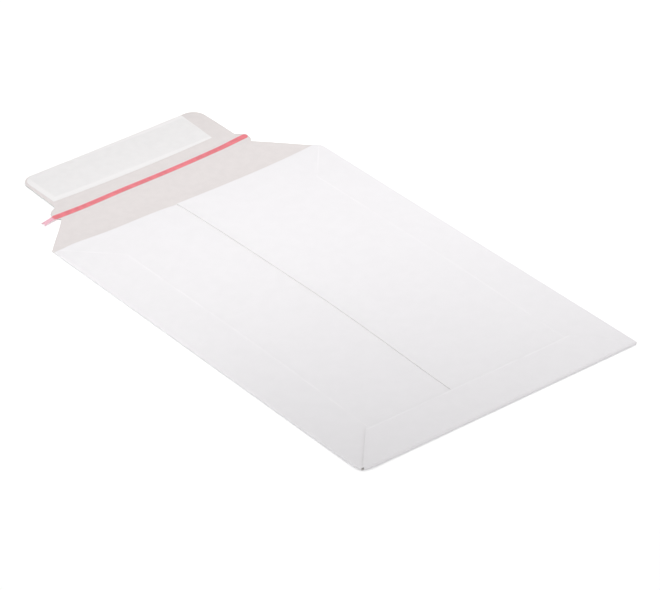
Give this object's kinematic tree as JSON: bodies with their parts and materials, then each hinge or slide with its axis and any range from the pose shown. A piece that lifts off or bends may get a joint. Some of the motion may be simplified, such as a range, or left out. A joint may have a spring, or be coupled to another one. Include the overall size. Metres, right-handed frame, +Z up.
{
  "type": "cardboard envelope",
  "caption": "Flat board mailer with a back-glued pocket, an open closing flap, a tear tape across the flap and a glue strip under a paper liner.",
  "frame": {"origin": "middle of the pocket's flat underside, on the surface that the envelope lies on", "axes": "+Y runs along the pocket to its mouth and the open closing flap, +Z is up out of the glued back, +X is across the width"},
  "size_m": [0.24, 0.44, 0.008],
  "materials": {
    "white_board": "smooth coated white board",
    "board_inside": "uncoated warm grey board",
    "red_film": "satin",
    "hot_melt": "tacky satin",
    "liner_paper": "silicone coated"
  },
  "bodies": {
    "pocket": {"pocket": "white_board"},
    "flap": {"closing_flap": "board_inside", "tear_tape": "red_film", "glue_strip": "hot_melt", "release_liner": "liner_paper"}
  },
  "joints": [
    {"name": "flap_hinge", "type": "hinge", "parent": "pocket", "child": "flap", "pos_m": [0, 0.172, 0.0035], "axis": [1, 0, 0], "range_deg": [0, 176]}
  ]
}
